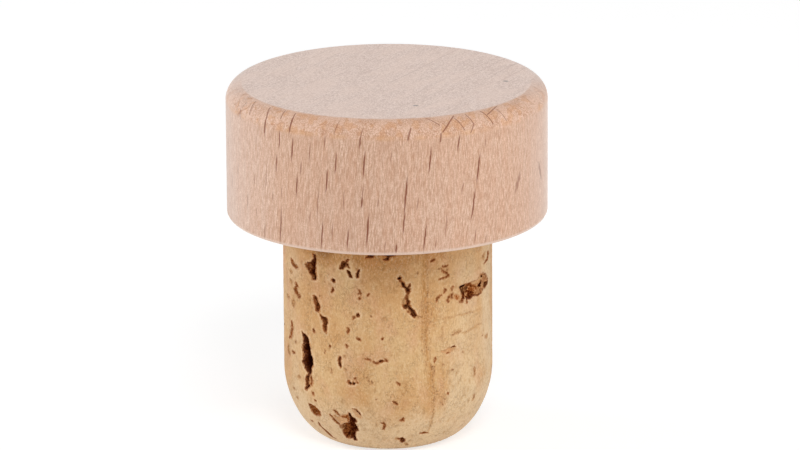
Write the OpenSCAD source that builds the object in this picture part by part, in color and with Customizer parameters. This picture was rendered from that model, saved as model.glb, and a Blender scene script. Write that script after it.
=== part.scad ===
// Wooden bottle stopper: a turned beech cap with a natural cork shank glued into it.
// The origin is the centre of the cap's underside, where it meets the bottle's lip. +Z is up, out of the bottle.

/* [Cap] */
// Diameter of the cap
cap_d = 30; // [24:0.5:40]
// Height of the cap
cap_h = 12.6; // [9:0.1:20]
// Radius of the round on the cap's top edge
top_round = 1.6; // [0.4:0.1:3]
// Radius of the round on the cap's lower edge
lower_round = 0.4; // [0.2:0.1:1.5]

/* [Cork] */
// Diameter of the cork where it fills the bottle's neck
cork_d = 19.6; // [15:0.1:23]
// Length of the cork that stands out of the cap
cork_l = 21.5; // [17:0.5:35]
// Height of the rounded lower end
end_h = 6.6; // [3:0.1:9]
// Diameter of the flat foot that is left at the lower end
foot_d = 11.2; // [6:0.1:14]
// Fullness of the rounded end: 2 is an ellipse, less is nearer to a slope
end_fullness = 1.77; // [1.4:0.01:2.4]

/* [Glued joint] */
// Depth of the blind recess bored in the cap's underside
recess_depth = 2; // [1:0.1:5]
// How much smaller the recess is than the cork all round, so that the cork is squeezed into it
squeeze = 0.2; // [0.1:0.05:0.5]
// Glue layer between the cork and the recess, at its wall and its floor
glue_gap = 0.05; // [0.02:0.01:0.2]

/* [Pits] */
// Depth of the deep, dark holes in the cork
deep_pit = 1.4; // [0.6:0.1:2.5]
// Depth of the broad, rough pits
broad_pit = 0.9; // [0.4:0.1:1.5]
// Depth of the cracks and nicks
nick_pit = 0.5; // [0.2:0.1:1.2]

/* [Hidden] */

$fn = 96;
cap_r = cap_d / 2;
cork_r = cork_d / 2;
foot_r = foot_d / 2;
recess_r = cork_r - squeeze;
seat_r = recess_r - glue_gap;
seat_h = recess_depth - glue_gap;
// Lead-in chamfer at the mouth of the recess: it guides the cork in and clears it at the lip
lead_in = squeeze + glue_gap;
wall_l = cork_l - end_h;
end_steps = 24;
// How far a cutter starts outside the surface that it cuts
over = 1;

// Outlines of pits, as the cork's surface is seen from outside: [to the right, up] from the pit's middle
long_hole = [
  [-0.8, 2.0], [-0.6, 1.1], [-0.5, 0.5], [-0.7, -0.4], [-0.7, -1.1], [-0.2, -1.6],
  [0, -2.1], [0.5, -1.6], [0.7, -1], [0.7, -0.4], [0.3, -0.1], [0.5, 0.7], [0.2, 1.3]
];
bottom_pit = [
  [-1.5, 1], [-1.3, 0.6], [-0.8, 0.1], [-0.6, -0.6], [-0.4, -1.7], [0.5, -1.7], [0.7, -0.7],
  [1.2, -0.3], [1, 0.4], [1.3, 0.9], [0.6, 1.5], [-0.3, 1.2], [-0.8, 1.6]
];
torn_pit = [
  [-2.2, 1], [-2.2, 0.2], [-1.9, -0.5], [-1.5, -1.1], [-0.7, -0.9], [0.9, -0.9], [1.5, -0.6],
  [2.7, -0.6], [3, 0.6], [1.3, 1.2], [0.7, 1.1], [0.3, 0.5], [-1.1, 0.5]
];
side_hole = [
  [0.2, 1.2], [0.1, 0.7], [-0.5, 0.4], [-0.9, -0.2], [-0.4, -0.5], [0, -0.7],
  [0.3, -1.2], [0.7, -1.3], [0.4, -0.6], [0.6, -0.1], [0.7, 0.3], [0.4, 0.7], [0.5, 1.2]
];
long_crack = [
  [-0.9, 2], [-0.5, 1.1], [0, 0.7], [0, -0.4], [-0.3, -0.6], [-0.2, -1.1], [0.3, -1.3],
  [0.7, -2], [1.4, -2.1], [0.9, -1.8], [0.4, -1], [0.2, -0.4], [0.2, 0.8], [-0.2, 1.3], [-0.7, 2]
];
hooked_nick = [
  [-0.4, 0.5], [-0.5, 0.1], [-0.2, -0.1], [0.2, -0.4], [0.5, -1], [0.8, -1], [0.6, -0.4],
  [0.2, 0], [0.4, 0.4], [0.1, 0.7]
];
bent_nick = [
  [-0.4, 0.8], [0, 0.3], [-0.4, -0.2], [0, -0.8], [0.4, -0.7], [-0.1, -0.2], [0.2, 0.1], [0.3, 0.5]
];
short_nick = [[-0.5, 0.8], [-0.4, 0.1], [-0.1, -0.2], [0.1, -0.8], [0.4, -0.7], [0.4, 0.1], [0.1, 0.5]];
flat_nick = [[-0.9, -0.2], [-0.7, -0.4], [0.2, -0.3], [0.9, 0], [0.8, 0.3], [0, -0.1]];

// Radius of the cork at a height, along its straight wall and its rounded end
function surface_r(height) =
  height >= -wall_l ? cork_r
  : foot_r + (cork_r - foot_r) * pow(1 - pow(min(1, (-wall_l - height) / end_h), end_fullness), 1 / end_fullness);

// Half section of the cap: its two edge rounds are true arcs
module cap_section() {
  square([cap_r - top_round, cap_h]);
  square([cap_r - lower_round, cap_h - top_round]);
  translate([0, lower_round]) square([cap_r, cap_h - top_round - lower_round]);
  translate([cap_r - top_round, cap_h - top_round]) circle(r = top_round);
  translate([cap_r - lower_round, lower_round]) circle(r = lower_round);
}

// Half section of the cork: the squeezed seat with its lead-in, the straight wall, the rounded end and the flat foot
module cork_section() {
  polygon(concat(
    [[0, seat_h], [0, -cork_l]],
    [for (i = [end_steps:-1:0])
      let (turn = 90 * i / end_steps)
      [foot_r + (cork_r - foot_r) * pow(cos(turn), 2 / end_fullness), -wall_l - end_h * pow(sin(turn), 2 / end_fullness)]],
    [[cork_r, 0], [seat_r, lead_in], [seat_r, seat_h]]
  ));
}

// One pit cut straight in from the surface. Azimuth 0 is the front, and grows to the right.
module pit(azimuth, height, depth, outline, flip = false) {
  rotate([0, 0, azimuth])
    translate([0, depth - surface_r(height), height])
      rotate([90, 0, 0])
        linear_extrude(height = depth + over)
          mirror([flip ? 1 : 0, 0]) polygon(outline);
}

// The pits that show on the front. The lower ones keep their place above the foot.
module front_pits() {
  pit(-46.5, -3.3, deep_pit, side_hole);
  pit(-60, -6.4, nick_pit, short_nick, true);
  pit(-43, -6.8, nick_pit, short_nick);
  pit(-38, -8.5, nick_pit, short_nick);
  pit(-24, -2.8, deep_pit, hooked_nick);
  pit(10, -5.5, nick_pit, long_crack);
  pit(33, -3.6, nick_pit, bent_nick);
  pit(55, -6, broad_pit, torn_pit);
  pit(35, -11.1, nick_pit, flat_nick);
  pit(-50, 9.5 - cork_l, deep_pit, long_hole);
  pit(-48, 3.8 - cork_l, nick_pit, flat_nick, true);
  pit(-27, 2.9 - cork_l, deep_pit, bottom_pit);
}

// The pits on the back, of the same kinds as those on the front
module back_pits() {
  pit(98, -10.6, nick_pit, short_nick, true);
  pit(112, -4.2, deep_pit, side_hole, true);
  pit(131, -12.2, nick_pit, long_crack, true);
  pit(150, -5.6, nick_pit, bent_nick);
  pit(168, -9.9, broad_pit, hooked_nick);
  pit(187, -3.1, nick_pit, flat_nick);
  pit(214, -5.2, broad_pit, torn_pit, true);
  pit(238, -11.4, nick_pit, short_nick);
  pit(256, -4.4, nick_pit, hooked_nick, true);
  pit(205, 9 - cork_l, deep_pit, long_hole, true);
  pit(142, 3.4 - cork_l, deep_pit, bottom_pit, true);
  pit(236, 3.8 - cork_l, nick_pit, bent_nick, true);
}

module wooden_cap() {
  color("burlywood")
    difference() {
      rotate_extrude() cap_section();
      translate([0, 0, -over]) cylinder(r = recess_r, h = recess_depth + over);
      translate([0, 0, -over]) cylinder(r1 = recess_r + lead_in + over, r2 = recess_r, h = lead_in + over);
    }
}

module cork_shank() {
  color("sandybrown")
    difference() {
      rotate_extrude() cork_section();
      front_pits();
      back_pits();
    }
}

wooden_cap();
cork_shank();
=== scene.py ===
import math

import bmesh
import bpy
import numpy as np
from mathutils import Matrix, Vector


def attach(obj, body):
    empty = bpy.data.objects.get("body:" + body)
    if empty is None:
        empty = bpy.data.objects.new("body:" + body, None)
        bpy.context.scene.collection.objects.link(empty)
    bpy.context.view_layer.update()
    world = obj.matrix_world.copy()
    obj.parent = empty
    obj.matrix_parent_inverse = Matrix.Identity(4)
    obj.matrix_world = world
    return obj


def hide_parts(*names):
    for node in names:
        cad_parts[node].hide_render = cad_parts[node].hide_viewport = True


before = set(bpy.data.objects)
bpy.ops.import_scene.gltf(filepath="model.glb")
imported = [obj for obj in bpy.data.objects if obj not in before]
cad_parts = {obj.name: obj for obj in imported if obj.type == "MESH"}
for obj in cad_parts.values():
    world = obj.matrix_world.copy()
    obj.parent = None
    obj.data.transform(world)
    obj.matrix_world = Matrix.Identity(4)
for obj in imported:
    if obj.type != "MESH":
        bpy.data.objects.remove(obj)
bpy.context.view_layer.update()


# Wooden cap: one piece of beech, turned on a lathe and fine sanded, left bare. It is cut so that its end
# grain is on top, and the dark rays of the wood show as short upright dashes round its side.
# It keeps the solid from the CAD model; the wood is a solid texture through that piece.

MM = 0.001
CAP_R = 15.0
CAP_H = 12.6
# Radius of the turned round on the cap's top edge
TOP_ROUND = 1.6
# How far the rays' plane is turned from the photo's, and how far they lean to the right per mm of height
RAY_TURN = math.radians(28)
RAY_LEAN = 0.075
# Further in mm than any mark reaches
FAR_OFF = 9.0

# Rays seen on the side: azimuth and height of the upper end, of the lower end, width, all read off
DARK_RAYS = [
    (-48, 12.3, -48, 10.1, 0.16), (-36.3, 12.3, -36.3, 11, 0.16), (-34.8, 10.5, -35.6, 8.4, 0.2),
    (-42.5, 8.5, -42.5, 6.95, 0.18), (-33.2, 7, -33.7, 5.1, 0.18), (-40.3, 3.55, -41.2, 0.3, 0.17),
    (-21.5, 7.85, -21.7, 5.75, 0.18), (-18, 9.55, -18.2, 7.7, 0.16), (-23, 2.9, -24, 0.5, 0.17),
    (-13.8, 2.4, -14.2, 0.7, 0.16), (-9.2, 11.25, -9.6, 10.3, 0.18), (-7.8, 9.75, -8.3, 7.6, 0.2),
    (-8.7, 5.6, -9.2, 4.65, 0.19), (-6.5, 3.8, -7.4, 1.1, 0.25), (15.3, 10.1, 15, 7.75, 0.2),
    (6.8, 7.5, 6.1, 4, 0.22), (6.1, 4.1, 5.4, 2.15, 0.16), (13.5, 2.8, 12.8, 0.4, 0.18),
    (3.1, 1.05, 2.9, 0.4, 0.2), (26.1, 10.9, 25.5, 9.6, 0.18), (34.3, 8.9, 33.2, 6.25, 0.26),
    (32.3, 5.5, 30.9, 2.85, 0.22), (-40.7, 10.95, -41.1, 9.3, 0.16),
]
FAINT_RAYS = [
    (-47.8, 6.85, -48, 5.1, 0.15), (-40.2, 5.6, -40.2, 4.7, 0.14), (-59, 4.2, -59.5, 2.4, 0.16),
    (-53.5, 2.9, -53.5, 2.15, 0.14), (-49, 1.7, -48.5, 0.3, 0.18), (-44.5, 4.9, -44.5, 4.2, 0.14),
    (-54.5, 6, -54.5, 5.1, 0.14), (-53.2, 9.7, -53.2, 9.1, 0.14), (-64.5, 11.8, -64.5, 11, 0.14),
    (-57, 12.3, -57, 11.8, 0.14), (-31.7, 8.3, -31.7, 7.2, 0.26), (-73.5, 4.9, -73.5, 3.4, 0.16),
    (-66.8, 6.4, -66.8, 4.9, 0.16), (-22, 11.1, -22.3, 10.1, 0.16), (-27.8, 10.2, -28.2, 8.5, 0.17),
    (-18.5, 12.4, -18.5, 11.4, 0.14), (-24.7, 6.05, -25.4, 3.2, 0.15), (-28.2, 3.75, -28.2, 2.8, 0.14),
    (-9, 11.9, -9, 11.4, 0.14), (-8.5, 6.5, -8.7, 5.6, 0.14), (-19.6, 2.9, -19.6, 1.4, 0.13),
    (-15.4, 6.1, -15.4, 4.2, 0.13), (7.3, 11.8, 7.3, 11.05, 0.16), (19, 11.3, 18.9, 10.55, 0.15),
    (22, 12.35, 20, 11.8, 0.15), (-3.3, 5.4, -3.3, 4.7, 0.14), (21, 3.6, 20.7, 1.8, 0.17),
    (17, 1.2, 17, 0.6, 0.15), (37, 10.2, 36.8, 9.6, 0.15), (27.6, 6.4, 27, 5.45, 0.17),
    (54.2, 6.15, 52.2, 4.3, 0.5), (32.9, 1.85, 31.9, 0.65, 0.2), (37, 1, 37, 0.45, 0.16),
    (-0.8, 1.4, -1, 0.3, 0.13), (10.8, 5.4, 10.4, 4.3, 0.12), (1.6, 9.8, 1.4, 8.9, 0.12),
]

# Rays that run on over the turned round: width, then azimuth and length up from the round's lower edge
ROUND_STROKES = [
    (0.15, [(-60.2, 2.03), (-58.8, 1.33), (-57.8, 0.6)]),
    (0.17, [(-50, 1.96), (-48, 0.85), (-48.5, -0.57)]),
    (0.13, [(-42.1, 2.1), (-41.4, 1.06)]),
    (0.17, [(-36.8, 1.99), (-36, 1.05), (-36.3, 0.07)]),
    (0.12, [(-64.4, 0.62), (-64, -0.2)]),
    (0.12, [(-63.7, 1.5), (-64.2, 0.94)]),
    (0.17, [(26.1, 2.06), (22.8, 1.25), (20, 0.48)]),
    (0.18, [(19.2, 0.33), (19, -0.38)]),
    (0.1, [(25.8, 1.74), (28.4, 0.4)]),
    (0.12, [(31, 2.04), (32.4, 0.82), (30.7, 0.09)]),
    (0.15, [(38.1, 2.09), (40.6, 0.48)]),
    (0.13, [(47.6, 2.25), (39.9, 1.49)]),
    (0.1, [(45.5, 1.74), (47.1, 0.45)]),
    (0.1, [(14.4, 2.31), (19.2, 1.13)]),
    (0.17, [(8.5, 1.02), (7.3, -0.03)]),
]


def srgb(hex_code):
    """The linear colour of an sRGB hex code, with alpha 1."""
    parts = [int(hex_code[i:i + 2], 16) / 255 for i in (0, 2, 4)]
    return tuple(p / 12.92 if p <= 0.04045 else ((p + 0.055) / 1.055) ** 2.4 for p in parts) + (1.0,)


def add(tree, kind, inputs=None, **settings):
    """Adds a node, with its settings, and with values or links for its inputs."""
    node = tree.nodes.new(kind)
    for name, value in settings.items():
        setattr(node, name, value)
    for name, value in (inputs or {}).items():
        socket = node.inputs[name]
        if isinstance(value, bpy.types.NodeSocket):
            tree.links.new(value, socket)
        else:
            socket.default_value = value
    return node


def calc(tree, operation, a, b=0.0, c=0.0):
    """The result of one sum on numbers or sockets."""
    return add(tree, "ShaderNodeMath", {0: a, 1: b, 2: c}, operation=operation).outputs[0]


def times(tree, product, *factors):
    """The product of numbers or sockets."""
    for factor in factors:
        product = calc(tree, "MULTIPLY", product, factor)
    return product


def vector(tree, operation, *values):
    """The result of one sum on vectors: a vector, or a number for a length, a distance or a dot product."""
    node = add(tree, "ShaderNodeVectorMath", dict(enumerate(values)), operation=operation)
    return node.outputs["Value" if operation in ("LENGTH", "DISTANCE", "DOT_PRODUCT") else "Vector"]


def fade(tree, value, start, end, low=0.0, high=1.0):
    """Turns a value that runs from start to end into one that runs smoothly from low to high."""
    if start > end:
        start, end, low, high = end, start, high, low
    inputs = {"Value": value, "From Min": start, "From Max": end, "To Min": low, "To Max": high}
    return add(tree, "ShaderNodeMapRange", inputs, interpolation_type="SMOOTHSTEP").outputs["Result"]


def blend(tree, share, under, over):
    """One colour over another by a share from 0 to 1."""
    return add(tree, "ShaderNodeMix", {0: share, 6: under, 7: over}, data_type="RGBA").outputs[2]


def glaze(tree, colour, layers, *where):
    """Lays colours over a colour, where these values allow it. Each layer is a value, the values at which it
    starts and is full, its share when full, and its colour."""
    for value, start, full, share, hex_code in layers:
        amount = times(tree, fade(tree, value, start, full, 0, share), *where)
        colour = blend(tree, amount, colour, srgb(hex_code))
    return colour


def stretched_noise(tree, place, size_mm, detail=2.0, offset=(0, 0, 0)):
    """Noise whose grains have that size in millimetres along each axis of the given place."""
    spread = vector(tree, "MULTIPLY_ADD", place, tuple(1 / s for s in size_mm), offset)
    inputs = {"Vector": spread, "Scale": 1.0, "Detail": detail, "Roughness": 0.55}
    return add(tree, "ShaderNodeTexNoise", inputs).outputs[0]


def new_material(name):
    """A material without nodes, and its tree."""
    material = bpy.data.materials.new(name)
    material.use_nodes = True
    material.node_tree.nodes.clear()
    return material, material.node_tree


def bare_surface(tree, colour, rough, relief, bump_share, bump_mm, gloss, fuzz):
    """The surface of a bare, unvarnished wood or cork, with its fine relief."""
    bump = add(tree, "ShaderNodeBump", {"Height": relief, "Strength": bump_share, "Distance": bump_mm * MM})
    shader = add(tree, "ShaderNodeBsdfPrincipled", {
        "Base Color": colour, "Roughness": rough, "Normal": bump.outputs[0], "Specular IOR Level": gloss,
        "Sheen Weight": fuzz, "Sheen Roughness": 0.35})
    add(tree, "ShaderNodeOutputMaterial", {"Surface": shader.outputs[0]})


def place_in_mm(tree, turn=0.0):
    """Object coordinates in millimetres, turned about the stopper's axis."""
    where = add(tree, "ShaderNodeTexCoord").outputs["Object"]
    inputs = {"Vector": where, "Rotation": (0, 0, turn), "Scale": (1 / MM, 1 / MM, 1 / MM)}
    return add(tree, "ShaderNodeMapping", inputs).outputs[0]


def ray_marks(tree, place, rays):
    """Closeness to the nearest of these rays of the wood: below 1 is inside its thin spindle."""
    nearest = FAR_OFF
    for top_turn, top_z, low_turn, low_z, width in rays:
        turn = math.radians((top_turn + low_turn) / 2)
        middle = (top_z + low_z) / 2
        across = CAP_R * math.sin(turn + RAY_TURN) - RAY_LEAN * middle
        half_w = 0.43 * width * max(math.cos(turn + RAY_TURN), 0.2)
        half_h = 0.5 * (top_z - low_z) + 0.15
        scale = (1 / half_w, 0, 1 / half_h)
        local = vector(tree, "MULTIPLY_ADD", place, scale, (-across / half_w, 0, -middle / half_h))
        nearest = calc(tree, "MINIMUM", vector(tree, "LENGTH", local), nearest)
    return nearest


def stroke_marks(tree, place, strokes):
    """Closeness to the nearest of these strokes, on a plane of millimetres round the cap and up its round."""
    nearest = FAR_OFF
    for width, points in strokes:
        flat = [(math.radians(turn) * CAP_R, up, 0) for turn, up in points]
        for start, end in zip(flat, flat[1:]):
            run = Vector(end) - Vector(start)
            gap = vector(tree, "SUBTRACT", place, start)
            along = vector(tree, "DOT_PRODUCT", gap, tuple(run / run.dot(run)))
            along = add(tree, "ShaderNodeClamp", {0: along}).outputs[0]
            inputs = {0: tuple(run), "Scale": along}
            foot = add(tree, "ShaderNodeVectorMath", inputs, operation="SCALE").outputs[0]
            away = vector(tree, "DISTANCE", gap, foot)
            nearest = calc(tree, "MINIMUM", calc(tree, "DIVIDE", away, 0.5 * width), nearest)
    return nearest


def beech():
    """Bare steamed beech: pinkish tan, fine straight fibres, short dark rays, greyer on the end grain, with a
    painted rim light at its left and right edges and a painted highlight along its lower arris.
    """
    material, tree = new_material("bare_beech")
    place = place_in_mm(tree, RAY_TURN)
    parts = add(tree, "ShaderNodeSeparateXYZ", {0: place}).outputs
    height = parts["Z"]
    across = calc(tree, "MULTIPLY_ADD", height, -RAY_LEAN, parts["X"])
    leaning = add(tree, "ShaderNodeCombineXYZ", {"X": across, "Y": parts["Y"], "Z": height}).outputs[0]
    waver = stretched_noise(tree, leaning, (0.5, 6, 0.7), 2.0)
    bent_across = calc(tree, "MULTIPLY_ADD", calc(tree, "SUBTRACT", waver, 0.5), 0.12, across)
    bent = add(tree, "ShaderNodeCombineXYZ", {"X": bent_across, "Y": parts["Y"], "Z": height}).outputs[0]

    # The side: fine fibres, browner in the heart, and paler towards the left and right edges by a painted rim
    # light
    fibres = stretched_noise(tree, leaning, (0.085, 0.085, 0.9), 1.0)
    strands = stretched_noise(tree, leaning, (0.42, 0.42, 9), 2.0, (7, 3, 1))
    ticks = stretched_noise(tree, leaning, (0.1, 0.1, 0.7), 1.0, (3, 6, 9))
    grain = stretched_noise(tree, leaning, (0.11, 0.11, 0.14), 1.0, (2, 9, 4))
    clouds = stretched_noise(tree, leaning, (2.4, 2.4, 5), 2.0, (5, 1, 8))
    wide = add(tree, "ShaderNodeSeparateXYZ", {0: place_in_mm(tree)}).outputs
    # Painted light: the side is made paler by world X towards the cap's left edge, and less towards its right
    # edge
    left_painted_rim_light = fade(tree, wide["X"], -8.5, -14.6, 0, 0.6)
    painted_rim_light = calc(tree, "ADD", left_painted_rim_light, fade(tree, wide["X"], 11, 14.8, 0, 0.3))
    dark_wood = blend(tree, painted_rim_light, srgb("C4987C"), srgb("D9BDAC"))
    light_wood = blend(tree, painted_rim_light, srgb("E7C6AF"), srgb("F6E3D8"))
    side = blend(tree, fade(tree, fibres, 0.32, 0.68), dark_wood, light_wood)
    side = glaze(tree, side, (
        (strands, 0.35, 0.65, 0.25, "D9A585"), (clouds, 0.35, 0.7, 0.25, "DCBAA4"),
        (ticks, 0.54, 0.7, 0.4, "AC7856"), (grain, 0.35, 0.65, 0.42, "B5886C")))

    # The turned round cuts through rays and growth rings at a slant, so their edges cross there as fine
    # arches, between pale sanded patches and ochre ones
    radius = vector(tree, "LENGTH", vector(tree, "MULTIPLY", place, (1, 1, 0)))
    on_round = times(tree, fade(tree, height, 10.7, 11.3), fade(tree, radius, 13.35, 13.6))
    swirl = stretched_noise(tree, place, (1.6, 1.6, 1.6), 2.0, (9, 3, 2))
    broken = stretched_noise(tree, place, (0.9, 0.9, 0.9), 1.0, (1, 8, 3))
    ring_place = calc(tree, "MULTIPLY_ADD", height, 0.25, parts["Y"])
    ring_gap = calc(tree, "PINGPONG", calc(tree, "MULTIPLY_ADD", swirl, 1.5, ring_place), 0.6)
    ray_gap = calc(tree, "PINGPONG", calc(tree, "MULTIPLY_ADD", swirl, 1.1, across), 0.45)
    arches = calc(tree, "MAXIMUM", fade(tree, ring_gap, 0.09, 0.0), fade(tree, ray_gap, 0.07, 0.0, 0, 0.7))
    around = calc(tree, "ARCTAN2", wide["X"], times(tree, wide["Y"], -1.0))
    off_front = fade(tree, calc(tree, "ABSOLUTE", around), 0.7, 1.2, 0.5, 1.0)
    arches = times(tree, arches, fade(tree, broken, 0.38, 0.58), off_front)
    above_start = calc(tree, "SUBTRACT", height, CAP_H - TOP_ROUND)
    up_round = calc(tree, "ARCTAN2", above_start, calc(tree, "SUBTRACT", radius, CAP_R - TOP_ROUND))
    lengths = {"X": times(tree, around, CAP_R), "Y": times(tree, up_round, TOP_ROUND)}
    unrolled = add(tree, "ShaderNodeCombineXYZ", lengths).outputs[0]
    strokes = calc(tree, "ADD", stroke_marks(tree, unrolled, ROUND_STROKES), times(tree, grain, 0.5))
    side = glaze(tree, side, (
        (swirl, 0.4, 0.6, 0.55, "E2BDA6"), (broken, 0.5, 0.62, 0.5, "CE9668"),
        (grain, 0.48, 0.66, 0.4, "B57C58"), (grain, 0.46, 0.3, 0.32, "F0D2BE")), on_round)
    side = blend(tree, times(tree, arches, 0.75, on_round), side, srgb("A56C48"))
    ochre_belt = times(tree, fade(tree, height, 10.75, 11.1), fade(tree, height, 11.5, 11.2))
    side = glaze(tree, side, [(clouds, 0.42, 0.65, 0.4, "D5A273")], ochre_belt)

    # End grain on the top and the underside: greyer, pored, with broken fine lines along the rays
    pores = stretched_noise(tree, leaning, (0.11, 0.16, 5), 1.0, (1, 2, 3))
    lines = stretched_noise(tree, leaning, (0.22, 2.6, 9), 3.0, (4, 4, 4))
    veil = stretched_noise(tree, leaning, (1.6, 5, 9), 2.0, (6, 2, 7))
    end_grain = blend(tree, fade(tree, pores, 0.33, 0.68), srgb("C8AA9B"), srgb("EBD4C8"))
    end_grain = glaze(tree, end_grain, (
        (lines, 0.52, 0.72, 0.5, "C4A595"), (veil, 0.4, 0.65, 0.35, "E9CDBD")))
    behind = fade(tree, wide["Y"], -7, 3)
    far_round = times(tree, behind, fade(tree, radius, 14.9, 14.2))
    on_top = calc(tree, "MAXIMUM", fade(tree, radius, 13.62, 13.42), far_round)
    on_top = times(tree, on_top, fade(tree, height, 8, 9))
    on_end = calc(tree, "MAXIMUM", on_top, fade(tree, height, 0.12, 0.02))
    colour = blend(tree, on_end, side, end_grain)

    # Two dark specks on the top, by their places across and along the rays
    for speck_x, speck_y in ((6.56, -6.67), (10.0, 4.79)):
        local = vector(tree, "MULTIPLY_ADD", place, (2.6, 3.6, 0), (-2.6 * speck_x, -3.6 * speck_y, 0))
        colour = glaze(tree, colour, [(vector(tree, "LENGTH", local), 1.0, 0.4, 0.75, "5F4A40")], on_end)

    # A painted highlight: a pale line along the lower arris, where its small rounding catches the light
    arris_highlight = times(tree, fade(tree, height, 0.45, 0.2), fade(tree, height, 0.01, 0.08), 0.7)
    colour = blend(tree, arris_highlight, colour, srgb("EBD0BE"))

    # The rays that the photo shows, and others of the same kind round the rest of the cap, one in each cell
    rough_edge = times(tree, calc(tree, "SUBTRACT", grain, 0.5), 0.5)
    dark = calc(tree, "ADD", ray_marks(tree, bent, DARK_RAYS), rough_edge)
    faint = calc(tree, "ADD", ray_marks(tree, bent, FAINT_RAYS), rough_edge)
    cell_w, cell_d, cell_h = 1.5, 14, 3.2
    cells = vector(tree, "MULTIPLY", bent, (1 / cell_w, 1 / cell_d, 1 / cell_h))
    inputs = {"Vector": cells, "Scale": 1.0, "Randomness": 0.9}
    seeds = add(tree, "ShaderNodeTexVoronoi", inputs, feature="F1")
    gap = vector(tree, "SUBTRACT", cells, seeds.outputs["Position"])
    gap = vector(tree, "LENGTH", vector(tree, "MULTIPLY", gap, (cell_w / 0.085, 0, cell_h / 1.0)))
    chance = add(tree, "ShaderNodeSeparateColor", {0: seeds.outputs["Color"]}).outputs[0]
    other = times(tree, fade(tree, gap, 1.15, 0.5), fade(tree, chance, 0.35, 0.75, 0, 0.8), behind)
    marks = calc(tree, "MAXIMUM", other, fade(tree, dark, 1.25, 0.5, 0, 0.96))
    marks = calc(tree, "MAXIMUM", marks, fade(tree, faint, 1.25, 0.4, 0, 0.55))
    marks = calc(tree, "MAXIMUM", marks, fade(tree, strokes, 1.35, 0.5, 0, 0.85))
    marks = times(tree, marks, fade(tree, on_end, 0, 1, 1, 0.3))
    colour = blend(tree, marks, colour, srgb("82472B"))

    relief = calc(tree, "MULTIPLY_ADD", grain, 0.4, times(tree, marks, -1.2))
    relief = calc(tree, "MULTIPLY_ADD", fibres, 0.5, relief)
    bare_surface(tree, colour, fade(tree, fibres, 0.3, 0.7, 0.52, 0.66), relief, 0.6, 0.03, 0.4, 0.5)
    return material


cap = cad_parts["wooden_cap"]
cap.data.materials.clear()
cap.data.materials.append(beech())


# Cork shank: one plug of natural cork, cut with a tube drill along the bark, ground to its round lower end
# and left bare. Its pits and cracks are the bark's own breathing pores. It is glued into the cap's recess.
# The surface is one closed skin on the CAD solid's outline, with every pit sunk into it.

CORK_R = 9.8
WALL_L = 14.9
END_H = 6.6
FOOT_R = 5.6
FULLNESS = 1.77
SEAT_R = 9.55
SEAT_TOP = 1.95
LEAD_IN = 0.25

# What a pit is like: its depth in mm, the width in mm of its sloping wall, how dark it is and how reddish
PIT_KINDS = {
    "black": (1.3, 0.3, 1.5, 0.4),
    "hollow": (0.5, 0.22, 1.0, 0.75),
    "brown": (0.38, 0.18, 0.72, 0.75),
    "rust": (0.32, 0.16, 0.58, 0.9),
    "torn": (0.22, 0.12, 0.3, 0.75),
    "shelf": (0.14, 0.14, 0.06, 0.9),
    "crack": (0.3, 0.14, 0.84, 0.7),
    "nick": (0.15, 0.13, 0.48, 0.75),
    "faint": (0.08, 0.12, 0.24, 0.3),
    "line": (0.04, 0.1, 0.14, 0.2),
}
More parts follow.
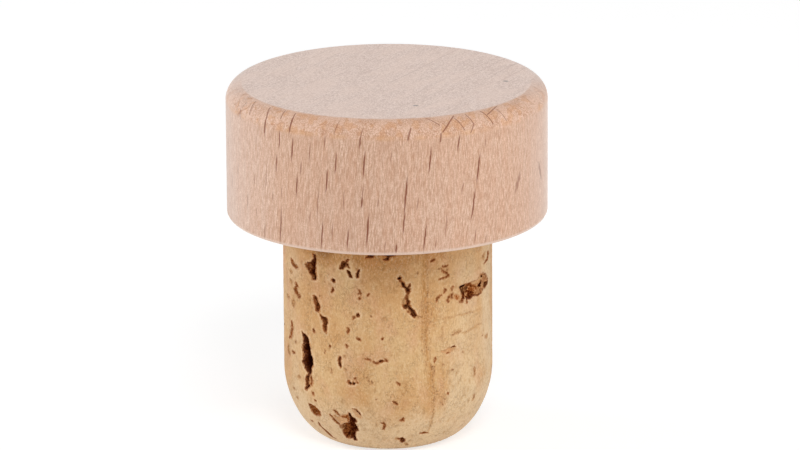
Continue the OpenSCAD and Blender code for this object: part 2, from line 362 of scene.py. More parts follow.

# Open pits: kind and outline, as azimuth in degrees and height in mm, read off
PITS = [
    ("hollow", [(-44.6, -2.1), (-42.9, -2.1), (-42.6, -2.8), (-42.9, -3.3), (-43.5, -3.85), (-42.2, -4.35),
                (-43, -4.55), (-46, -4.6), (-45.8, -4.2), (-48, -4), (-50, -3.7), (-51.6, -3.4),
                (-48.6, -3.1), (-45.5, -2.85), (-44.5, -2.6)]),
    ("brown", [(-45, -6.1), (-43.5, -6.1), (-41.8, -6.35), (-40.8, -6.75), (-40.2, -7.1), (-41.5, -7.6),
               (-43, -7.5), (-43.8, -7.1), (-45, -6.6)]),
    ("brown", [(-39.8, -7.75), (-37.3, -8), (-35.5, -8), (-34.9, -8.5), (-35.6, -8.9), (-35.7, -9.2),
               (-36, -9.5), (-37.5, -9.3), (-38.2, -8.7), (-38.3, -8.3), (-39.5, -8)]),
    ("rust", [(-32.2, -4.95), (-31.3, -4.9), (-30.9, -5.2), (-31.8, -5.5), (-32.4, -5.45)]),
    ("brown", [(-25.1, -2.25), (-23.4, -2.25), (-22.8, -2.05), (-21.7, -2.05), (-22.8, -2.35), (-21.9, -2.45),
               (-21.3, -2.8), (-21.9, -2.75), (-23, -2.55), (-23.8, -2.7), (-24.9, -3), (-27, -2.95),
               (-26.2, -2.6)]),
    ("brown", [(-17.5, -7.2), (-16.5, -7.1), (-15.6, -7.35), (-17, -7.5), (-17.8, -7.4)]),
    ("brown", [(-10.2, -1.2), (-7.4, -1.2), (-7.6, -1.75), (-10.5, -1.75), (-12.3, -1.85), (-11, -1.6)]),
    ("brown", [(-2, -1.2), (4.4, -1.2), (4.4, -1.35), (3.5, -1.5), (0.6, -1.55), (0.6, -1.9), (-1, -1.95),
               (-2.3, -1.85), (-0.5, -1.65), (-0.6, -1.5), (-2, -1.45)]),
    ("nick", [(36.8, -5.75), (37.7, -5.7), (37.8, -5.85), (37.5, -6), (38.2, -6.2), (36.8, -6.25),
              (36.3, -6.15), (36.5, -5.95)]),
    ("shelf", [(38.3, -5.95), (39.5, -5.85), (41.2, -5.96), (43, -6.16), (43.7, -6.44), (42.6, -6.65),
               (40.9, -6.5), (39.3, -6.33)]),
    ("torn", [(42.3, -5.3), (45.4, -5.2), (48.6, -5.15), (52, -5.25), (55.8, -5.2), (58.9, -5.2),
              (61.5, -4.9), (64.9, -4.85), (68.5, -5.1), (70.9, -5.5), (72.3, -5.9), (71.3, -6.25),
              (68.4, -6.45), (64.8, -6.4), (62.6, -6.7), (58.9, -6.8), (53.9, -6.6), (52, -6.75),
              (49.4, -6.7), (46.5, -6.55), (45.3, -6.7), (44.7, -6.95), (41.9, -6.9), (43.4, -6.6),
              (44.4, -6.25), (44, -5.85), (42.9, -5.55)]),
    ("crack", [(8.9, -4.4), (9.7, -4.45), (10.4, -4.6), (11.1, -4.4), (11.9, -4.25), (11.9, -4.5),
               (11.4, -4.65), (12.4, -4.8), (12.3, -4.95), (11.5, -5.15), (10.7, -5.3), (10, -5.2),
               (10.1, -4.9), (9.7, -4.75), (8.8, -4.65)]),
    ("brown", [(9.9, -5.8), (11, -5.75), (11.5, -6.05), (11.6, -6.35), (12.3, -6.55), (11.4, -6.6),
               (10.6, -6.5), (9.9, -6.7), (9, -6.65), (8, -6.5), (8.2, -6.3), (8.8, -6.25), (10, -6.2)]),
    ("crack", [(11.4, -6.3), (12.6, -6.5), (13.6, -6.7), (14.3, -6.85), (14.8, -7.1), (16, -7.5),
               (14.4, -7.55), (13.1, -7.38), (12.2, -7.2), (12.7, -7.05), (12.2, -6.85), (11.1, -6.6)]),
    ("black", [(-55, -10), (-52.2, -10.15), (-49.8, -10.4), (-49, -10.85), (-47.7, -11.3), (-47.7, -11.8),
               (-45.9, -12.3), (-45.5, -12.8), (-47.1, -13.2), (-47.5, -13.8), (-48.7, -14), (-50.3, -13.8),
               (-52.5, -13.5), (-54.4, -12.9), (-53.6, -12), (-54.9, -11.6), (-53.2, -11.05),
               (-53.4, -10.55)]),
    ("rust", [(-52, -17.05), (-49.6, -17), (-47, -17.05), (-45.3, -17.25), (-43.8, -17.5), (-44, -17.8),
              (-45.5, -18), (-48, -18.15), (-50, -18), (-51.5, -17.6)]),
    ("shelf", [(-28.6, -17.46), (-26.8, -17.31), (-23.8, -17.19), (-23, -17.48), (-23.1, -17.78),
               (-24.3, -18.08), (-27.4, -18.23), (-29.1, -18.33), (-31, -18.18), (-32.6, -17.9),
               (-33.9, -17.64), (-32.7, -17.48), (-30.5, -17.67)]),
    ("hollow", [(-24.1, -17.28), (-23, -17.03), (-22.2, -17.21), (-21.2, -17.44), (-19.9, -17.54),
                (-19, -17.79), (-20.2, -18.11), (-19.3, -18.41), (-19, -18.94), (-21.2, -19.07),
                (-22.2, -19.49), (-22.6, -20.17), (-24.2, -20.26), (-24.6, -19.86), (-27.4, -20.09),
                (-30, -20.03), (-30, -19.63), (-30.3, -19.31), (-30.7, -19), (-31.4, -18.85), (-30.8, -18.61),
                (-28.1, -18.33), (-26.4, -18.18), (-24.2, -18.1), (-23.4, -17.83), (-23, -17.58)]),
    ("shelf", [(-20.5, -16.55), (-18.4, -16.75), (-15.4, -17.3), (-15.9, -17.55), (-17.4, -17.5),
               (-19.4, -17.2), (-20.1, -16.9)]),
    ("shelf", [(30, -11.1), (33, -11.02), (36.5, -11), (39.8, -10.98), (38.8, -11.3), (36.3, -11.42),
               (33.5, -11.42), (31, -11.3)]),
    ("nick", [(-4.5, -17.85), (-2.8, -17.9), (-1.7, -18), (-1.7, -18.3), (-2.7, -18.65), (-3.6, -18.6),
              (-3, -18.3), (-3, -18.1)]),
    ("nick", [(5.8, -17.65), (8.3, -17.35), (9, -17.4), (9, -17.75), (7.5, -17.7)]),
    ("brown", [(7.4, -19.75), (9.3, -19.65), (10.8, -19.9), (10.4, -20.25), (9.2, -20.35), (8, -20.1)]),
    ("nick", [(4.5, -13.7), (5.9, -13.85), (5.9, -14.1), (4.9, -14)]),
]

# Cracks and nicks: kind, width in mm, and the line that each follows, read off in the same way
CRACKS = [
    ("nick", 0.3, [(-66.7, -3.41), (-64.7, -3.7), (-62.8, -3.91), (-60.5, -4.1)]),
    ("nick", 0.22, [(-59.9, -3.78), (-60.2, -4.1)]),
    ("faint", 0.2, [(-68.5, -4.55), (-66.5, -4.8)]), ("faint", 0.24, [(-67.8, -5.5), (-67.1, -5.95)]),
    ("nick", 0.22, [(-60.2, -5.54), (-59.1, -5.88)]),
    ("nick", 0.28, [(-59.6, -5.9), (-61.8, -6.2), (-60.4, -6.5), (-58.2, -6.7)]),
    ("nick", 0.2, [(-57.1, -6.45), (-57.8, -6.85)]), ("faint", 0.24, [(-64, -7.3), (-64, -8.05)]),
    ("faint", 0.24, [(-71.5, -7.15), (-71, -7.55)]),
    ("faint", 0.18, [(-40.2, -5.9), (-39.5, -6.1)]),
    ("crack", 0.22, [(-31.8, -4.1), (-30.6, -4.35)]),
    ("crack", 0.24, [(-22.1, -3.1), (-21, -3.35), (-20, -3.72)]),
    ("crack", 0.2, [(-15.4, -2.95), (-16.2, -3.1), (-16.4, -3.6), (-16.8, -3.75)]),
    ("faint", 0.16, [(-17.4, -2.75), (-17.2, -2.9)]),
    ("nick", 0.16, [(-16, -4.85), (-14.8, -5.3)]), ("nick", 0.16, [(-16.3, -5.2), (-16.1, -5.3)]),
    ("nick", 0.18, [(-15.6, -5.6), (-15.4, -5.85)]), ("nick", 0.16, [(-10.2, -5.2), (-11.2, -5.45)]),
    ("nick", 0.16, [(-18.5, -7.45), (-19.2, -7.7)]), ("faint", 0.16, [(-9.4, -7.3), (-9, -7.4)]),
    ("crack", 0.34, [(6.1, -3.5), (6.4, -3.8)]), ("nick", 0.22, [(6.4, -3.8), (7.2, -4), (8.2, -4.1)]),
    ("crack", 0.3, [(8.1, -4.1), (8.5, -4.4), (9.2, -4.55)]),
    ("line", 0.14, [(7, -4.05), (6.3, -4.25), (4.9, -4.45)]),
    ("nick", 0.26, [(10.6, -5.1), (10.4, -5.5), (10.6, -5.85)]),
    ("faint", 0.14, [(9, -5.55), (8.7, -5.8), (8, -6.15)]),
    ("faint", 0.16, [(15.3, -7.5), (16.7, -7.6), (18.7, -7.6)]),
    ("nick", 0.18, [(10.9, -6.93), (11.3, -6.97)]),
    ("faint", 0.18, [(15.9, -3.2), (16.3, -3.4)]), ("nick", 0.16, [(23.5, -2.3), (26.3, -2.15)]),
    ("line", 0.1, [(21.7, -2.3), (22, -3.6), (22, -5), (21.6, -6.5)]),
    ("line", 0.14, [(21.6, -6.5), (20.7, -7.4), (20.4, -9.3), (19.8, -10.8)]),
    ("nick", 0.18, [(31.3, -2.95), (34, -3)]), ("faint", 0.18, [(28.2, -3.15), (30, -3.1)]),
    ("nick", 0.16, [(30.4, -3.15), (31.5, -3.42), (32.7, -3.52), (34, -3.78), (34.7, -3.97), (33.1, -4.05),
                    (31.2, -4.12), (29, -4.15)]),
    ("faint", 0.16, [(33.5, -3.35), (34.7, -3.35)]),
    ("nick", 0.16, [(32.2, -5.1), (33, -5.4), (31.8, -5.6)]),
    ("nick", 0.13, [(38.2, -5.15), (37, -5.2), (36.6, -5.45)]),
    ("nick", 0.13, [(36, -5.95), (34.5, -6.15), (34.3, -6.3), (34.9, -6.55)]),
    ("nick", 0.14, [(48.1, -6.65), (48.2, -7.05)]),
    ("nick", 0.16, [(30.3, -5.75), (27.8, -6), (27.6, -6.25)]),
    ("nick", 0.2, [(72.5, -3.15), (74, -3.45), (71, -3.85), (66.5, -4.05)]),
    ("faint", 0.18, [(67.5, -3), (65.5, -3.3), (66.5, -3.65)]),
    ("line", 0.12, [(39.4, -8.02), (47.7, -8.09), (57.8, -8.17)]),
    ("line", 0.12, [(32, -7.98), (37.3, -8.05)]),
    ("faint", 0.12, [(37.2, -9.79), (43.7, -9.63)]),
    ("line", 0.14, [(44.5, -9.85), (52, -9.77), (62.2, -9.64)]),
    ("line", 0.12, [(37.2, -9.5), (44.5, -9.42)]),
    ("crack", 0.24, [(-49.5, -14), (-50.6, -14.7), (-50.6, -15.2)]),
    ("crack", 0.2, [(-48.6, -14.95), (-50.4, -15.25), (-52.5, -15.65)]),
    ("nick", 0.16, [(-48.2, -14), (-46.6, -14.45), (-47.3, -14.95)]),
    ("nick", 0.16, [(-46.5, -15.6), (-46.3, -15.95)]),
    ("nick", 0.18, [(-45.2, -16.4), (-44.8, -16.5)]),
    ("nick", 0.16, [(-67, -9.45), (-65.7, -10.18), (-67.2, -10.83), (-69.6, -11.34)]),
    ("faint", 0.26, [(-73, -12.25), (-71.8, -12.95)]), ("nick", 0.2, [(-64.8, -12.4), (-64.6, -12.55)]),
    ("faint", 0.2, [(-61.8, -11.2), (-61.6, -11.45)]), ("nick", 0.18, [(-45.2, -9.4), (-44.4, -9.75)]),
    ("nick", 0.18, [(-34, -10.65), (-33.8, -10.75)]), ("nick", 0.16, [(-23.5, -10.3), (-23.2, -10.55)]),
    ("nick", 0.22, [(-22.7, -8.7), (-21.9, -8.85), (-22.3, -9.15)]),
    ("nick", 0.18, [(-16.9, -9.5), (-15.3, -9.8)]),
    ("crack", 0.2, [(-27.3, -11.57), (-27.3, -12.05), (-27.1, -12.57)]),
    ("faint", 0.16, [(-37, -11.05), (-37.2, -11.5)]), ("faint", 0.16, [(-33, -12.85), (-32.7, -13.3)]),
    ("faint", 0.16, [(-24.5, -11.35), (-24.2, -11.55)]), ("faint", 0.16, [(-24.2, -12.6), (-23.4, -12.9)]),
    ("crack", 0.26, [(-21.4, -13.9), (-21, -14.1)]), ("crack", 0.24, [(-19.3, -13.9), (-18.9, -14.05)]),
    ("nick", 0.16, [(-18.9, -13.55), (-18.1, -13.45)]), ("nick", 0.18, [(-17.6, -13.7), (-17.4, -13.9)]),
    ("nick", 0.18, [(-22.6, -13.7), (-21.8, -13.9)]), ("faint", 0.2, [(-58.6, -14.5), (-58.4, -14.7)]),
    ("faint", 0.2, [(-65.6, -16), (-65.4, -16.2)]), ("faint", 0.2, [(-64.1, -16.9), (-63.9, -17.1)]),
    ("nick", 0.18, [(-3, -9.45), (-2.6, -9.55)]),
    ("nick", 0.15, [(-12.3, -11.5), (-11.4, -11.47), (-10, -11.62)]),
    ("nick", 0.17, [(-8.4, -11.75), (-6.3, -11.9), (-4.8, -11.75)]),
    ("crack", 0.18, [(-4.8, -11.75), (-3.7, -11.65), (-2.8, -11.68)]),
    ("nick", 0.16, [(-1.7, -11.5), (-1.1, -11.6), (-0.3, -11.7)]),
    ("faint", 0.15, [(-11.5, -13.3), (-10.7, -13.7)]), ("faint", 0.15, [(-9.3, -13.6), (-8.5, -13.85)]),
    ("faint", 0.15, [(-10.4, -13.9), (-10.2, -14)]), ("faint", 0.15, [(-6.9, -15.3), (-6.7, -15.4)]),
    ("nick", 0.18, [(2.5, -15.6), (4.5, -15.9)]), ("nick", 0.18, [(7.4, -19.85), (5.8, -19.75)]),
    ("faint", 0.18, [(5.8, -19.75), (4.3, -19.85)]), ("faint", 0.24, [(11.5, -20.4), (14, -20.8)]),
    ("nick", 0.16, [(20.5, -19.3), (25.5, -19.3)]),
    ("crack", 0.17, [(-20.3, -16.55), (-18.1, -16.8), (-16.1, -17.2)]),
    ("nick", 0.15, [(-32.5, -16.97), (-31.1, -17.17), (-29.3, -17.46)]),
    ("nick", 0.2, [(-36.1, -17.54), (-34.3, -17.9), (-32.7, -18.23), (-30.6, -18.47)]),
    ("nick", 0.2, [(-56.2, -19), (-55.8, -19.1)]),
    ("nick", 0.2, [(-48.5, -18.9), (-48.5, -19.3), (-45.5, -19.8), (-44, -20.3), (-42.5, -20.6)]),
    ("nick", 0.17, [(26.5, -11.62), (25.9, -12.09)]), ("faint", 0.15, [(23.8, -12.23), (24.9, -12.9)]),
    ("faint", 0.15, [(25.6, -12.47), (25.3, -13.44)]),
    ("line", 0.12, [(25.3, -13.44), (24.1, -14.28), (26.2, -15.22)]),
    ("line", 0.14, [(26.2, -15.22), (25.7, -16.32), (25.8, -17.38), (25.8, -18.48), (25.5, -19.29)]),
    ("line", 0.12, [(26.8, -15.23), (30.7, -15.74), (33, -16)]),
    ("faint", 0.12, [(30, -16.1), (31.6, -16.5)]),
    ("faint", 0.14, [(31.4, -12.45), (31.2, -12.55)]),
    ("crack", 0.14, [(35.8, -11.08), (38.2, -11), (39.6, -11.02)]),
    ("nick", 0.1, [(30.2, -11.15), (33.5, -11.38), (36.3, -11.38)]),
    ("faint", 0.18, [(37.6, -13.1), (37.4, -13.2)]), ("faint", 0.18, [(45.1, -11.65), (44.9, -11.75)]),
    ("faint", 0.18, [(27.1, -14.95), (26.9, -15.05)]), ("nick", 0.2, [(34.7, -15.35), (34.3, -15.45)]),
    ("faint", 0.16, [(26, -15.6), (26, -16)]), ("faint", 0.14, [(25.8, -16.6), (25.7, -17.2)]),
    ("faint", 0.14, [(38.5, -9.65), (42.8, -9.55)]), ("faint", 0.2, [(70, -11.1), (70, -11.4)]),
    ("faint", 0.2, [(64.2, -10.85), (63.8, -10.95)]), ("faint", 0.2, [(56, -16.3), (56, -17)]),
    ("faint", 0.14, [(55, -13.6), (55, -14.5)]),
]

# Places inside the pits where the floor is darker or lighter: outline, darkness, redness, and how soft the
# border is in mm
FLOORS = [
    ([(39.2, -5.96), (41.1, -5.97), (42.7, -6.22), (42.3, -6.53), (40.7, -6.5), (39.7, -6.28)], 0.34, 1, 0.1),
    ([(43.9, -5.55), (46, -5.55), (47.7, -5.49), (50, -5.47), (51.2, -5.69), (49.9, -5.87), (48.3, -6.13),
      (46.5, -6.21), (45, -6.06), (44, -5.79)], 0.62, 0.3, 0.08),
    ([(42.6, -5.29), (45.1, -5.29), (47.8, -5.3), (49.2, -5.35), (48.2, -5.45), (46.4, -5.5), (45.1, -5.59),
      (43.8, -5.54)], 1.3, 0.2, 0.06),
    ([(50, -5.39), (51.7, -5.34), (53.4, -5.51), (55.3, -5.63), (57.8, -5.91), (56.8, -5.98), (54.8, -5.79),
      (53, -5.67), (51.2, -5.69), (50.3, -5.59)], 0.85, 0.85, 0.06),
    ([(51.2, -5.72), (53.4, -5.67), (57.2, -5.97), (59, -6.11), (57.2, -6.22), (55.3, -6.23), (52.5, -5.98),
      (50.8, -5.91)], 0.42, 1, 0.1),
    ([(50.6, -5.78), (53.4, -5.78), (55.5, -6.02), (54.3, -6.06), (52.5, -5.92), (51.2, -5.95)],
     0.75, 1, 0.05),
    ([(47.9, -6.74), (48.5, -6.51), (49.9, -6.5), (50.3, -6.21), (49, -5.98), (49.9, -5.87), (51.7, -6.04),
      (52.8, -5.94), (53.9, -6.14), (55.2, -6.28), (56.8, -6.39), (56, -6.63), (54.3, -6.7), (53.4, -6.78),
      (51.2, -6.8), (49.5, -6.84)], 0.96, 0.95, 0.07),
    ([(46.3, -5.87), (47.3, -5.91), (47.8, -6.16), (47.7, -6.39), (46.5, -6.62), (45.9, -6.88),
      (44.6, -6.83), (45.2, -6.57), (46.1, -6.37), (46.1, -6.1)], 1, 0.85, 0.06),
    ([(54.8, -6.55), (57.7, -6.7), (60.9, -6.72), (64.4, -6.7), (65.4, -6.84), (62, -6.89), (58.7, -6.9),
      (55.5, -6.74)], 0.8, 0.4, 0.05),
    ([(61.5, -6.06), (61.9, -5.85), (63.3, -5.7), (64.4, -5.6), (65.6, -5.79), (65, -5.99), (63.5, -5.99),
      (63, -6.18)], 1.2, 0.4, 0.05),
    ([(63.2, -5.27), (64.6, -5.16), (66.8, -5.15), (68.2, -5.32), (67, -5.44), (64.8, -5.43)],
     1.2, 0.3, 0.05),
    ([(68.6, -6.2), (70.1, -6.02), (72.7, -5.93), (75, -6.09), (74.5, -6.37), (71.8, -6.49), (69.3, -6.54),
      (68.2, -6.39)], 0.78, 0.3, 0.06),
    ([(67.5, -5.03), (70.9, -5.24), (72.9, -5.54), (73.4, -5.89), (71.8, -5.84), (71.3, -5.51),
      (69.7, -5.27)], 0.6, 0.3, 0.05),
    ([(55.3, -5.35), (59.3, -5.32), (63.9, -5.27), (66.4, -5.62), (62.6, -5.53), (60.3, -5.66),
      (58.2, -5.66), (56.2, -5.58)], 0, 0.2, 0.08),
    ([(40.1, -6.07), (41.7, -6.06), (42.6, -6.27), (42, -6.48), (40.8, -6.39)], 0.42, 1, 0.08),
    ([(-59.2, -10.18), (-55.9, -10.32), (-54.7, -10.66), (-54.1, -11.19), (-56, -11.51), (-57.9, -11.28),
      (-57.9, -10.67)], 0.74, 0.25, 0.07),
    ([(-55, -3.78), (-51.4, -3.19), (-48.6, -3.27), (-47.8, -3.72), (-48.1, -4.34), (-50.4, -4.24),
      (-53, -3.98)], 0.48, 0.85, 0.16),
    ([(-49.8, -4.34), (-47.5, -4.14), (-45.1, -4.23), (-44.4, -4.76), (-47.9, -4.88)], 0.42, 0.8, 0.14),
    ([(-47.5, -6.37), (-45, -6.3), (-43.8, -6.72), (-44.2, -7.37), (-45.7, -7.21), (-46.9, -6.74)],
     0.42, 0.95, 0.09),
    ([(-33.6, -19.06), (-31.2, -18.62), (-28.4, -18.28), (-25.2, -18.22), (-24.8, -18.34), (-27.8, -18.68),
      (-30.3, -18.96), (-32.5, -19.18)], 0.22, 0.7, 0.12),
    ([(-36.4, -19.37), (-32.9, -18.93), (-29.9, -18.59), (-28.6, -18.64), (-29.7, -19.22), (-30.3, -19.75),
      (-33.4, -20.21), (-33.1, -19.72), (-33.5, -19.39)], 0.4, 0.6, 0.25),
    ([(-28.8, -18.64), (-26, -18.51), (-25.5, -18.88), (-26.4, -19.47), (-28, -19.75), (-30.7, -19.82),
      (-30.1, -19.28)], 0.7, 0.85, 0.25),
    ([(-34.4, -20.25), (-29.8, -19.95), (-26.8, -19.96), (-26.5, -20.21), (-29.3, -20.63), (-35.2, -21.16),
      (-38.7, -21.13)], 0.45, 0.8, 0.15),
    ([(-27.1, -20.42), (-24.9, -20.1), (-26.1, -20.82), (-30, -21.17)], 0.75, 0.7, 0.1),
    ([(-25.9, -17.62), (-24.5, -17.31), (-23.7, -17.52), (-23.7, -17.81), (-25.1, -17.92)], 0.8, 0.7, 0.1),
    ([(-29.2, -17.61), (-26.7, -17.41), (-24.3, -17.31), (-23.7, -17.61), (-24.4, -17.78), (-26.2, -17.72),
      (-28.3, -17.81)], 0.5, 0.9, 0.1),
    ([(-24.1, -17.62), (-23.3, -17.7), (-23.9, -17.97), (-24.8, -18.12), (-25, -17.93)], 0.6, 0.9, 0.08),
    ([(-50.5, -10.73), (-47.7, -10.65), (-43.8, -11.12), (-41.7, -11.33), (-42.1, -11.59), (-45.9, -11.54),
      (-49, -11.23)], 0.42, 0.8, 0.1),
    ([(8.3, -6.32), (9.8, -6.25), (10.4, -6.44), (10.5, -6.77), (9.4, -6.8), (8.5, -6.63)], 0.72, 0.6, 0.1),
]

# Outlines of the pits on the back, as in the solid: to the right and up in mm from the pit's middle
PIT_SHAPES = {
    "long_hole": [(-0.8, 2.0), (-0.6, 1.1), (-0.5, 0.5), (-0.7, -0.4), (-0.7, -1.1), (-0.2, -1.6), (0, -2.1),
                  (0.5, -1.6), (0.7, -1), (0.7, -0.4), (0.3, -0.1), (0.5, 0.7), (0.2, 1.3)],
    "bottom_pit": [(-1.5, 1), (-1.3, 0.6), (-0.8, 0.1), (-0.6, -0.6), (-0.4, -1.7), (0.5, -1.7), (0.7, -0.7),
                   (1.2, -0.3), (1, 0.4), (1.3, 0.9), (0.6, 1.5), (-0.3, 1.2), (-0.8, 1.6)],
    "torn_pit": [(-2.2, 1), (-2.2, 0.2), (-1.9, -0.5), (-1.5, -1.1), (-0.7, -0.9), (0.9, -0.9), (1.5, -0.6),
                 (2.7, -0.6), (3, 0.6), (1.3, 1.2), (0.7, 1.1), (0.3, 0.5), (-1.1, 0.5)],
    "side_hole": [(0.2, 1.2), (0.1, 0.7), (-0.5, 0.4), (-0.9, -0.2), (-0.4, -0.5), (0, -0.7), (0.3, -1.2),
                  (0.7, -1.3), (0.4, -0.6), (0.6, -0.1), (0.7, 0.3), (0.4, 0.7), (0.5, 1.2)],
    "long_crack": [(-0.9, 2), (-0.5, 1.1), (0, 0.7), (0, -0.4), (-0.3, -0.6), (-0.2, -1.1), (0.3, -1.3),
                   (0.7, -2), (1.4, -2.1), (0.9, -1.8), (0.4, -1), (0.2, -0.4), (0.2, 0.8), (-0.2, 1.3),
                   (-0.7, 2)],
    "hooked_nick": [(-0.4, 0.5), (-0.5, 0.1), (-0.2, -0.1), (0.2, -0.4), (0.5, -1), (0.8, -1), (0.6, -0.4),
                    (0.2, 0), (0.4, 0.4), (0.1, 0.7)],
    "bent_nick": [(-0.4, 0.8), (0, 0.3), (-0.4, -0.2), (0, -0.8), (0.4, -0.7), (-0.1, -0.2), (0.2, 0.1),
                  (0.3, 0.5)],
    "short_nick": [(-0.5, 0.8), (-0.4, 0.1), (-0.1, -0.2), (0.1, -0.8), (0.4, -0.7), (0.4, 0.1), (0.1, 0.5)],
    "flat_nick": [(-0.9, -0.2), (-0.7, -0.4), (0.2, -0.3), (0.9, 0), (0.8, 0.3), (0, -0.1)],
}
# Pits on the back: azimuth, height, kind, shape, and -1 where the shape is mirrored
BACK_PITS = [
    (98, -10.6, "brown", "short_nick", -1), (112, -4.2, "black", "side_hole", -1),
    (131, -12.2, "crack", "long_crack", -1), (150, -5.6, "brown", "bent_nick", 1),
    (168, -9.9, "rust", "hooked_nick", 1), (187, -3.1, "brown", "flat_nick", 1),
    (214, -5.2, "rust", "torn_pit", -1), (238, -11.4, "brown", "short_nick", 1),
    (256, -4.4, "crack", "hooked_nick", -1), (205, -12.5, "black", "long_hole", -1),
    (142, -18.1, "black", "bottom_pit", -1), (236, -17.7, "brown", "bent_nick", -1),
]

# Marks up to this azimuth to either side are read from the photo
READ_SIDE = 76
# How far in mm round a mark the skin is looked at
MARGIN = 0.7


def cork_profile():
    """Run, radius, height and slope at fine points down the cork's outline, from seat's middle to foot's."""
    turn = np.linspace(0, math.pi / 2, 2001)[1:]
    end_r = FOOT_R + (CORK_R - FOOT_R) * np.maximum(np.cos(turn), 0) ** (2 / FULLNESS)
    end_z = -WALL_L - END_H * np.sin(turn) ** (2 / FULLNESS)
    radius = np.concatenate([[0, SEAT_R, SEAT_R, CORK_R, CORK_R], end_r, [0]])
    height = np.concatenate([[SEAT_TOP, SEAT_TOP, LEAD_IN, 0, -WALL_L], end_z, [end_z[-1]]])
    run = np.concatenate([[0], np.cumsum(np.hypot(np.diff(radius), np.diff(height)))])
    slope = np.arctan2(-np.gradient(radius), -np.gradient(height))
    slope[:5] = 0
    slope[-2:] = math.pi / 2
    return run - run[3], radius, height, slope


PROFILE_RUN, PROFILE_R, PROFILE_Z, PROFILE_SLOPE = cork_profile()


def ripple(wide, tall, cell, seed):
    """Smooth unevenness from -1 to 1 round the cork, the same each run, with no seam."""
    count = round(2 * math.pi * CORK_R / cell)
    rows = 512
    table = np.random.default_rng(seed).uniform(-1, 1, (count, rows))
    across = wide * count / (2 * math.pi * CORK_R)
    i = np.floor(across).astype(int)
    j = np.floor(tall / cell).astype(int)
    u = across - i
    v = tall / cell - j
    u = u * u * (3 - 2 * u)
    v = v * v * (3 - 2 * v)
    low = table[i % count, j % rows] * (1 - u) + table[(i + 1) % count, j % rows] * u
    high = table[i % count, (j + 1) % rows] * (1 - u) + table[(i + 1) % count, (j + 1) % rows] * u
    return low * (1 - v) + high * v


def line_gap(x, y, points, closed, taper):
    """How far inside a closed outline each place is, negative outside it, or the negative distance to an
    open line, which the taper makes longer towards the line's ends."""
    gap = np.full(x.shape, FAR_OFF)
    inside = np.zeros(x.shape, bool)
    ends = points[1:] + points[:1] if closed else points[1:]
    lengths = [math.hypot(b[0] - a[0], b[1] - a[1]) for a, b in zip(points, ends)]
    done = 0.0
    for (ax, ay), (bx, by), length in zip(points, ends, lengths):
        share = np.clip(((x - ax) * (bx - ax) + (y - ay) * (by - ay)) / max(length * length, 1e-9), 0, 1)
        here = np.hypot(x - ax - share * (bx - ax), y - ay - share * (by - ay))
        if not closed:
            along = (done + share * length) / max(sum(lengths), 1e-9)
            here = here + taper * (2 * along - 1) ** 4
        gap = np.minimum(gap, here)
        done += length
        if closed and ay != by:
            inside ^= ((ay > y) != (by > y)) & (x < (bx - ax) * (y - ay) / (by - ay) + ax)
    return np.where(inside, gap, -gap) if closed else -gap


class Skin:
    """Points on the cork's surface, by azimuth and run, with what its pits do to each of them."""

    def __init__(self, azimuth, run):
        self.azimuth = azimuth
        self.run = run
        self.radius = np.interp(run, PROFILE_RUN, PROFILE_R)
        self.edge = np.full(run.shape, -1.0)
        self.sink = np.zeros(run.shape)
        self.dark = np.zeros(run.shape)
        self.red = np.zeros(run.shape)
        wide = np.radians(azimuth) * CORK_R
        self.shift_x = 0.04 * ripple(wide, run, 0.26, 1) + 0.05 * ripple(wide, run, 0.5, 2)
        self.shift_x += 0.022 * ripple(wide, run, 0.13, 21)
        self.shift_y = 0.035 * ripple(wide, run, 0.3, 3) + 0.05 * ripple(wide, run, 0.55, 4)
        self.shift_y += 0.022 * ripple(wide, run, 0.13, 22)

    def run_at(self, height):
        """How far down the outline a height is, on the wall or the rounded end."""
        return float(np.interp(-height, -PROFILE_Z[3:-1], PROFILE_RUN[3:-1]))

    def window(self, points):
        """Which of the skin's points are near a mark, and on a plane in mm the mark and those points.
        Towards the sides, widths are measured as they look from the front, as the marks were read."""
        middle = sum(p[0] for p in points) / len(points)
        seen = max(math.cos(math.radians(middle)), 0.4) if abs(middle) < READ_SIDE else 1.0
        runs = [self.run_at(p[1]) for p in points]
        radii = [seen * float(np.interp(r, PROFILE_RUN, PROFILE_R)) for r in runs]
        local = [(math.radians(p[0] - middle) * r, s) for p, r, s in zip(points, radii, runs)]
        turn = (self.azimuth - middle + 180) % 360 - 180
        reach = max(abs(p[0] - middle) for p in points) + math.degrees(MARGIN / min(radii))
        near = (self.run > min(runs) - MARGIN) & (self.run < max(runs) + MARGIN) & (np.abs(turn) < reach)
        cut = np.nonzero(near)[0]
        x = seen * np.radians(turn[cut]) * self.radius[cut] + self.shift_x[cut]
        y = self.run[cut] + self.shift_y[cut]
        return cut, local, x, y

    def carve(self, kind, points, width=0.0):
        """Sinks one pit, or with a width one crack, into the surface."""
        depth, wall, dark, red = PIT_KINDS[kind]
        cut, local, x, y = self.window(points)
        inside = line_gap(x, y, local, width == 0, 0.35 * width)
        if width:
            inside = inside + width / 2
        sink = depth * np.clip(inside / wall, 0, 1) ** 0.75
        first = inside > self.edge[cut]
        self.dark[cut] = np.where(first, dark, self.dark[cut])
        self.red[cut] = np.where(first, red, self.red[cut])
        self.edge[cut] = np.maximum(self.edge[cut], inside)
        self.sink[cut] = np.maximum(self.sink[cut], sink)

    def tint(self, points, dark, red, soft):
        """Gives the floor of a pit its own tone inside an outline."""
        cut, local, x, y = self.window(points)
        gap = line_gap(x + 0.8 * self.shift_x[cut], y + 0.8 * self.shift_y[cut], local, True, 0)
        share = np.clip(gap / soft + 0.5, 0, 1)
        self.dark[cut] += share * (dark - self.dark[cut])
        self.red[cut] += share * (red - self.red[cut])


